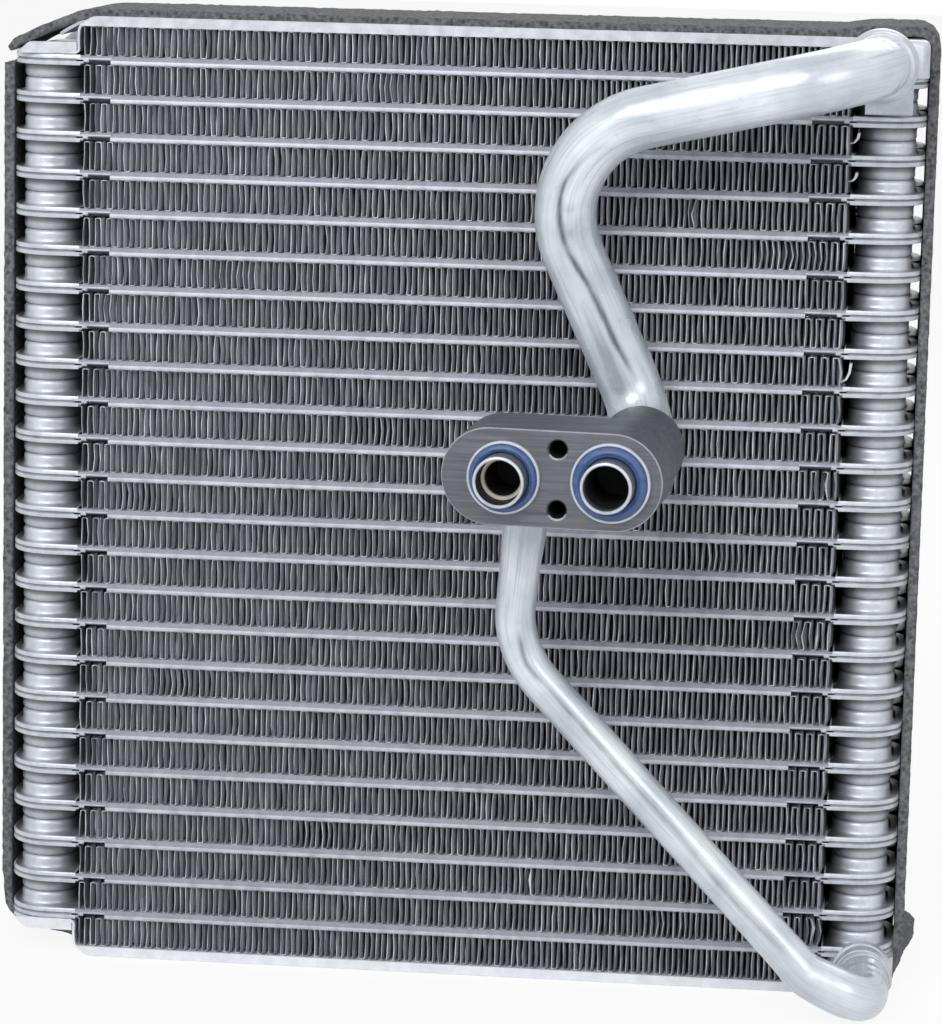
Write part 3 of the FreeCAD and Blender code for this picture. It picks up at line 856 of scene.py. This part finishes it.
def block_sides(shells, face, outline):
    """Chamfers, long sides and the back."""
    rings = [
        [on_block(x, 0, z) for x, z in face],
        [on_block(x, BLOCK_CHAMFER, z) for x, z in outline],
        [on_block(x, BLOCK_DEPTH - BLOCK_CHAMFER, z) for x, z in outline],
        [on_block(x, BLOCK_DEPTH, z) for x, z in face],
    ]
    count = len(outline)
    # each quad keeps its first corner and turns the other way
    faces = [(a, d, c, b) for a, b, c, d in band_faces(4, count)]
    faces.append(tuple(reversed(range(3 * count, 4 * count))))
    points = [p for ring in rings for p in ring]
    shells.add(points, faces, [3] * count + [0] * (2 * count + 1), [True] * (3 * count) + [False])


def make_block():
    shells = Shells()
    outline = arc(0.6, 0, BLOCK_RADIUS, -90, 90, 36) + arc(-30.4, 0, BLOCK_RADIUS, 90, 270, 36)
    face = offset(outline, BLOCK_CHAMFER)
    block_face(shells, face)
    block_sides(shells, face, outline)
    for z in (SCREW_RISE, -SCREW_RISE):
        inside_lathe(shells, about(-PORT_SPACING / 2, z), SCREW_HOLE, 32, [0, 2, 2])
    lathe(shells, on_block, LOBE, 72, 0)
    # bright collars round the seal rings
    for x, outer in ((0.0, 10.0), (-PORT_SPACING, 9.2)):
        inner = outer - 0.72
        collar = [(0.4, outer), (-1.0, outer), (-1.2, outer - 0.2), (-1.2, outer - 0.55)]
        collar += [(-1.0, inner), (0.4, inner)]
        lathe(shells, about(x), collar, 72, 1, None, True)
    lathe(shells, about(0), SUCTION_PORT, 72, 1, SUCTION_SLOTS, True)
    lathe(shells, about(-PORT_SPACING), LIQUID_PORT, 72, 1, LIQUID_SLOTS, True)
    # dark discs at the ends of the bores: painted shade
    for x, r in ((0, 5.61), (-PORT_SPACING, 4.41)):
        lathe(shells, about(x), [(12.6, r), (13.6, r)], 48, 2)
    mesh = shells.mesh("milled_block", [BLOCK, BRIGHT, BORE_SHADE, EDGE, SEAT], 30)
    piece("milled_block", mesh, "connector_block")


def faces_front(points, triangle):
    """Whether a triangle in the block's face runs counter-clockwise, seen from the front."""
    (ax, az), (bx, bz), (cx, cz) = (points[i] for i in triangle)
    return (bx - ax) * (cz - az) - (cx - ax) * (bz - az) > 0


def inside_lathe(shells, place, rings, sides, band_slots):
    """A turned hole, its faces turned inwards, with a floor at the last ring."""
    loops = turned(place, rings, sides)
    points = [p for loop in loops for p in loop]
    faces = band_faces(len(loops), sides)
    # the countersink's lower left is painted in the bright metal: a painted highlight where the light catches
    # it
    lit_crescent = range(int(0.58 * sides) + 1, math.ceil(0.92 * sides))
    slots = [1 if k in lit_crescent else band_slots[k // sides] for k in range(len(faces))]
    faces.append(tuple(range((len(loops) - 1) * sides, len(loops) * sides)))
    shells.add(points, faces, slots + [band_slots[-1]], True)


def make_seals():
    """Seal rings with fine moulded ridges."""
    steps, inner = 32, 6.52
    seals = (
        ("suction_o_ring", "suction_seal_ring", 0.0, 9.25),
        ("liquid_o_ring", "liquid_seal_ring", -PORT_SPACING, 8.45),
    )
    for name, node, x, outer in seals:
        shells = Shells()
        mid, half = (outer + inner) / 2, (outer - inner) / 2
        ring = []
        for k in range(steps):
            t = 2 * math.pi * k / steps
            high = 1.12 + 0.1 * math.cos(8 * t)
            ring.append((-1.25 - high * math.sin(t), mid + half * math.cos(t)))
        lathe(shells, about(x), ring, 72, 0, None, True)
        piece(name, shells.mesh(name, [RUBBER]), node)


# Pipes

def rounded_route(corners, radii, spacing=1.1):
    """Evenly spaced points along straight runs joined by true arcs."""
    points = [corners[0]]
    for k in range(1, len(corners) - 1):
        before = (corners[k - 1] - corners[k]).normalized()
        after = (corners[k + 1] - corners[k]).normalized()
        opening = before.angle(after)
        radius = radii[k - 1]
        centre = corners[k] + (before + after).normalized() * (radius / math.sin(opening / 2))
        start = corners[k] + before * (radius / math.tan(opening / 2))
        axis = after.cross(before).normalized()
        turn = math.pi - opening
        steps = max(4, int(radius * turn / spacing))
        for s in range(steps + 1):
            points.append(centre + Matrix.Rotation(turn * s / steps, 3, axis) @ (start - centre))
    points.append(corners[-1])
    dense = [points[0]]
    for p in points[1:]:
        pieces = max(1, int((p - dense[-1]).length / spacing))
        for s in range(pieces):
            dense.append(dense[-1].lerp(p, 1 / (pieces - s)))
    return dense


# half the width of a crease
CREASE_WIDTH = 0.85


# a crease is a list of (distance along, degrees round from the camera's side, depth)
def sweep(name, route, radius_at, sides, dents, crease):
    """A round section carried along a route without twist, with dents and one long crease."""
    along = (route[1] - route[0]).normalized()
    side = along.orthogonal().normalized()
    length = 0.0
    rings, around, run, crease_and_dent_shade = [], [], [], []
    for k, p in enumerate(route):
        if k:
            length += (p - route[k - 1]).length
        new = (route[min(k + 1, len(route) - 1)] - route[max(k - 1, 0)]).normalized()
        side = along.rotation_difference(new) @ side
        side = (side - new * side.dot(new)).normalized()
        along = new
        other = along.cross(side)
        r = radius_at(length)
        facing = EYE - p
        facing = math.atan2(facing.dot(other), facing.dot(side))
        turn, sink = between(crease, length)
        ring = []
        for s in range(sides):
            t = 2 * math.pi * s / sides
            out = side * math.cos(t) + other * math.sin(t)
            q = p + out * r
            low = sum(depth * math.exp(-((q - at).length / width) ** 2) for at, width, depth in dents)
            off = (t - facing - math.radians(turn) + math.pi) % (2 * math.pi) - math.pi
            fold = math.exp(-(off * r / CREASE_WIDTH) ** 2)
            lump = 0.06 * noise.noise(q * 0.09) + 0.02 * noise.noise(q * 0.4)
            ring.append(tuple(p + out * (r - low - sink * fold + lump)))
            around.append(t * 8.0)
            run.append(length)
            uneven = 0.85 + 0.5 * noise.noise(q * 0.25)
            # the crease and the dents are painted darker: a painted reflection along the crease, painted
            # shade in the dents
            crease_and_dent_shade.append(min(0.9, 2.2 * sink * fold ** 1.5 * uneven + 0.9 * low))
        rings.append(ring)
    shells = Shells()
    loft(shells, rings, 0, True)
    mesh = shells.mesh(name, [PIPE])
    for key, values in zip(PIPE_ATTRIBUTES, (around, run, crease_and_dent_shade)):
        mesh.attributes.new(key, "FLOAT", "POINT").data.foreach_set("value", values)
    return mesh


def between(stations, length):
    """Angle and depth of a crease at a distance along the pipe."""
    for (s0, a0, d0), (s1, a1, d1) in zip(stations, stations[1:]):
        if s0 <= length <= s1:
            t = (length - s0) / (s1 - s0)
            return a0 + (a1 - a0) * t, d0 + (d1 - d0) * t
    return 0.0, 0.0


def smooth_step(value, start, end):
    """Rises from 0 at the start to 1 at the end."""
    t = min(1.0, max(0.0, (value - start) / (end - start)))
    return t * t * (3 - 2 * t)


def stepped(pairs):
    """A radius that changes smoothly with distance along the pipe."""
    def radius_at(s):
        for (s0, r0), (s1, r1) in zip(pairs, pairs[1:]):
            if s <= s1:
                return r0 + (r1 - r0) * smooth_step(s, s0, s1)
        return pairs[-1][1]
    return radius_at


def route_length(route):
    return sum((b - a).length for a, b in zip(route, route[1:]))


def make_suction_pipe():
    """The wide pipe, from the upper socket round to the block's lobe."""
    x, z = SUCTION_SOCKET
    corners = [
        Vector((x, -2.0, z)), Vector((x, -32.5, z + 0.3)), Vector((18.2, -21.1, 226.9)),
        Vector(on_block(0, 62.0, 0)), Vector(on_block(0, 40.0, 0)),
    ]
    route = rounded_route(corners, [21.5, 27.0, 15.0])
    total = route_length(route)
    radius = stepped([
        (0, 7.4), (10.6, 7.4), (12.2, 7.85), (13.2, 7.55), (14.6, 7.6), (16.2, 7.95), (total, 7.95),
    ])
    dents = [(Vector((30.8, -27.0, 210.2)), 1.3, 0.35), (Vector((30.9, -25.9, 204.0)), 1.2, 0.35)]
    crease = [
        (88, -16, 0.0), (96, -4, 0.15), (104, 9, 0.4), (108, 12, 0.6), (113.5, 11, 0.6),
        (123.8, 8.4, 0.55), (134.3, -2.6, 0.6), (142.7, -4.7, 0.6), (150, -4.5, 0.55),
        (156, -10, 0.3), (163, -14, 0.0),
    ]
    mesh = sweep("wide_pipe", route, radius, 96, dents, crease)
    piece("wide_pipe", mesh, "suction_pipe")


def make_liquid_pipe():
    """The narrow pipe, from the lower socket, with three rings at its foot, up to the block."""
    x, z = LIQUID_SOCKET
    corners = [
        Vector((x, -2.0, z)), Vector((113.3, -31.2, 6.5)), Vector((97.6, -29.5, 13.5)),
        Vector((18.2, -24.5, 95.7)), Vector(on_block(-PORT_SPACING, 39.0, 0)),
        Vector(on_block(-PORT_SPACING, 14.0, 0)),
    ]
    route = rounded_route(corners, [7.8, 10.0, 26.0, 14.0])
    total = route_length(route)
    radius = stepped([
        (0, 5.2), (7.6, 5.2), (8.4, 7.0), (10.4, 7.1), (11.2, 6.35), (13.0, 6.35), (13.8, 6.75),
        (15.6, 6.7), (16.4, 6.15), (17.6, 6.2), (18.2, 6.5), (19.4, 6.45), (20.2, 6.15), (34.0, 6.1),
        (50.0, 5.3), (total - 52, 5.25), (total - 44, 5.65), (total, 5.65),
    ])
    crease = [
        (48, -6, 0.0), (54, -6, 0.2), (64, -11, 0.28), (74, -12, 0.26), (84, -5, 0.2), (93, 0, 0.24),
        (112, -2, 0.28), (130, 0, 0.26), (144, 1, 0.32), (151, -6, 0.36), (156.5, 3, 0.3), (161, 6, 0.0),
    ]
    mesh = sweep("narrow_pipe", route, radius, 64, [], crease)
    piece("narrow_pipe", mesh, "liquid_pipe")


# Foam strips

def lifted_corner(p):
    """The strip's lower end: its rear corner stands off the tank, its front corner is tucked in."""
    if p.x < 0:
        return p
    back = smooth_step(p.y, MID - 4.0, MID + 19.0)
    front = smooth_step(p.y, MID - 2.0, MID - 21.0)
    away = 3.4 * back * smooth_step(p.z, 11.0, 7.8) - 2.3 * front * smooth_step(p.z, 17.0, 4.0)
    drop = (0.9 * back - 0.9 * front) * smooth_step(p.z, 12.0, 4.0)
    return Vector((p.x + away, p.y, p.z + drop))


def foam_strip(name, node, route, y0, y1, bend=None):
    """A foam strip along a route of (x, z, thickness), its cut faces broken up by open cells."""
    points = [Vector((x, z)) for x, z, _ in route]
    thick = [t for _, _, t in route]
    path, depth = [], []
    for k in range(len(points) - 1):
        steps = max(1, int((points[k + 1] - points[k]).length / 1.3))
        for s in range(steps):
            path.append(points[k].lerp(points[k + 1], s / steps))
            depth.append(thick[k] + (thick[k + 1] - thick[k]) * s / steps)
    path.append(points[-1])
    depth.append(thick[-1])
    inside = [(path[k - 1] + path[k] * 2 + path[k + 1]) / 4 for k in range(1, len(path) - 1)]
    path = [path[0]] + inside + [path[-1]]
    rows = []
    layers = 3
    across = int((y1 - y0) / 1.4)
    for k, p in enumerate(path):
        along = (path[min(k + 1, len(path) - 1)] - path[max(k - 1, 0)]).normalized()
        out = Vector((-along.y, along.x))
        ring = []
        # once round the section, as steps through the thickness and across the strip
        loop = [(0, j) for j in range(across)] + [(i, across) for i in range(layers)]
        loop += [(layers, across - j) for j in range(across)] + [(layers - i, 0) for i in range(layers)]
        for i, j in loop:
            q = p + out * (depth[k] * i / layers)
            y = y0 + (y1 - y0) * j / across
            place = Vector((q.x, y, q.y))
            if bend:
                place = bend(place)
            rough = noise.noise_vector(place * 1.1) * 0.22 + noise.noise_vector(place * 2.7) * 0.12
            if i == 0:
                rough *= 0.35
            ring.append(tuple(place + rough))
        rows.append(ring)
    shells = Shells()
    loft(shells, rows, 0, True)
    obj = piece(name, shells.mesh(name, [FOAM]), node)


FOAM_HALF_WIDTH, FOAM_THICKNESS = 21.0, 2.6


def make_foam():
    y0, y1 = MID - FOAM_HALF_WIDTH, MID + FOAM_HALF_WIDTH
    t = FOAM_THICKNESS
    foam_strip("foam_top_and_right", "foam_upper", [
        (-121.7, 244.4, 1.5), (-119.6, 245.9, 2.3), (-112.0, 249.2, t), (-105.5, 251.8, t),
        (-101.4, 253.3, t), (-96.0, 253.45, t), (60.0, 253.45, t), (99.0, 253.6, t), (102.6, 254.4, t),
        (105.0, 254.6, t), (118.2, 254.7, t), (119.9, 254.3, t), (120.6, 252.6, t), (120.5, 250.0, t),
        (120.42, 150.0, t), (120.42, 60.0, t), (120.42, 24.0, t), (120.5, 12.0, t), (120.7, 3.4, 2.2),
    ], y0, y1, lifted_corner)
    foam_strip("foam_left_side", "foam_left", [
        (-101.6, 4.2, 1.5), (-106.0, 5.9, 2.2), (-112.0, 7.4, 2.4), (-117.5, 8.6, 2.0), (-120.4, 10.2, 1.7),
        (-120.75, 13.0, 1.9), (-120.75, 22.0, t), (-120.75, 130.0, t), (-120.75, 241.3, t),
    ], y0, y1)


# Stage, lamps and camera; the stage's and the lamps' places are in metres

LAMP_TARGET = Vector((0, 0, 0.12))
# share of plain white in what is seen of the floor; the rest is lit, and holds the shadow
WHITE_SHARE = 0.9
FLOOR_HALF, FLOOR_Z, FLOOR_LEVEL = 6.0, -0.0002, 0.93
# light of the surroundings on the object
SKY_LEVEL = 0.3


def floor_material():
    """Nearly plain white where it is seen or reflected; under the object it keeps the shadow."""
    n = Nodes("pale_floor")
    tone = n.levels(n.noise(3.0, 2, 0.5), FLOOR_LEVEL, FLOOR_LEVEL + 0.01, 0.0, 1.0)
    material = n.made(tone, Roughness=0.9)
    glow = n.add("ShaderNodeEmission", Strength=1.0)
    share = n.calculate("MULTIPLY", n.white_rays(), WHITE_SHARE)
    mix = n.add("ShaderNodeMixShader")
    for source, target in zip((share, n.shader.outputs[0], glow.outputs[0]), mix.inputs):
        n.join(source, target)
    n.join(mix.outputs[0], n.output.inputs["Surface"])
    return material


def make_stage():
    mesh = bpy.data.meshes.new("floor")
    corners = [(x * FLOOR_HALF, y * FLOOR_HALF, FLOOR_Z) for x, y in ((-1, -1), (1, -1), (1, 1), (-1, 1))]
    mesh.from_pydata(corners, [], [(0, 1, 2, 3)])
    mesh.materials.append(floor_material())
    put("floor", mesh)


def make_world():
    """White where it is seen, reflected or seen through something; a plain level elsewhere."""
    world = bpy.data.worlds.new("studio")
    world.use_nodes = True
    bpy.context.scene.world = world
    n = Tree(world.node_tree)
    background = n.tree.nodes["Background"]
    background.inputs["Color"].default_value = (1, 1, 1, 1)
    level = n.calculate("MULTIPLY_ADD", n.white_rays(), 1 - SKY_LEVEL, SKY_LEVEL)
    n.join(level, background.inputs["Strength"])


def lamp(name, at, size, power):
    """A soft lamp turned to the middle of the core."""
    light = bpy.data.lights.new(name, "AREA")
    light.shape = "RECTANGLE"
    light.size, light.size_y = size
    light.energy = power
    obj = put(name, light)
    obj.location = at
    obj.rotation_euler = (LAMP_TARGET - Vector(at)).to_track_quat("-Z", "Y").to_euler()


def make_camera():
    camera = bpy.data.cameras.new("camera")
    camera.sensor_fit = "VERTICAL"
    camera.sensor_height = 36.0
    camera.lens = 140.625
    camera.clip_start = 0.05
    camera.clip_end = 30.0
    obj = put("camera", camera)
    right = Vector((0.99428784, 0.10429546, 0.02267485))
    down = Vector((0.03987506, -0.16592314, -0.98533217))
    forward = Vector((-0.0990034, 0.98060796, -0.16913415))
    turn = Matrix((right, -down, -forward)).transposed().to_4x4()
    obj.matrix_world = Matrix.Translation(EYE * MM) @ turn
    bpy.context.scene.camera = obj


make_tubes()
make_fins()
make_side_plates()
suction_tank()
liquid_tank()
make_block()
make_seals()
make_suction_pipe()
make_liquid_pipe()
make_foam()
make_stage()
make_world()
lamp("key", (-0.35, -1.1, 0.95), (0.85, 0.62), 12.0)
lamp("fill", (0.8, -1.0, 0.7), (0.6, 0.6), 2.8)
lamp("rim", (0.3, 1.0, 1.1), (0.9, 0.6), 6.0)
make_camera()
bpy.context.scene.view_settings.view_transform = "Standard"
